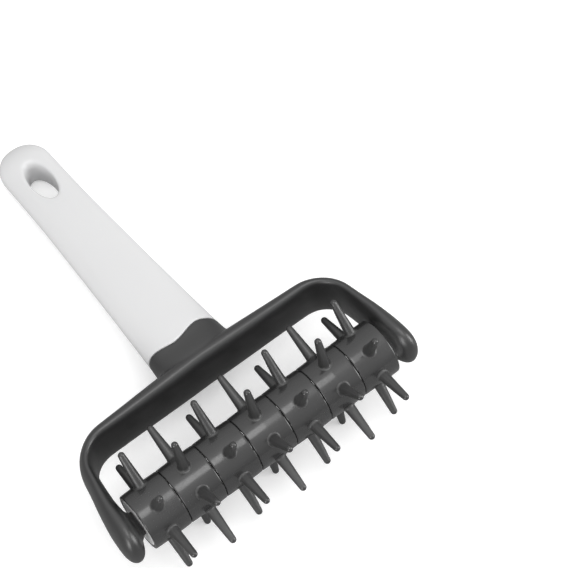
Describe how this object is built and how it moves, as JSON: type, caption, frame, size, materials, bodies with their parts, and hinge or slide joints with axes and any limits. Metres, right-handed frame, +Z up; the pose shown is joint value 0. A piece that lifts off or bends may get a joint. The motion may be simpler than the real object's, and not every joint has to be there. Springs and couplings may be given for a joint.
{
  "type": "dough docker",
  "caption": "Hand dough docker: a roller of pinned rings that turns freely in a forked yoke with a flattened, tapering grip and a hang hole.",
  "frame": {"origin": "under the middle of the bounding box, on the surface that the tool lies on", "axes": "+X along the roller, +Y from the roller to the end of the grip, +Z up, with the tool lying on two rows of pins and the grip's end"},
  "size_m": [0.134, 0.1966, 0.0511],
  "materials": {
    "dark_plastic": "satin gloss",
    "ring_plastic": "gloss",
    "white_plastic": "satin gloss",
    "white_core": "satin"
  },
  "bodies": {
    "frame": {"yoke": "dark_plastic", "handle": "white_plastic"},
    "roller": {"roller_core": "white_core", "end_bush_left": "white_core", "end_bush_right": "white_core", "pin_ring_1": "ring_plastic", "pin_ring_2": "ring_plastic", "pin_ring_3": "ring_plastic", "pin_ring_4": "ring_plastic", "pin_ring_5": "ring_plastic", "pin_ring_6": "ring_plastic", "pin_ring_7": "ring_plastic"}
  },
  "joints": [
    {"name": "roller_spin", "type": "hinge", "parent": "frame", "child": "roller", "pos_m": [0, -0.07276, 0.02555], "axis": [1, 0, 0], "continuous": true}
  ]
}
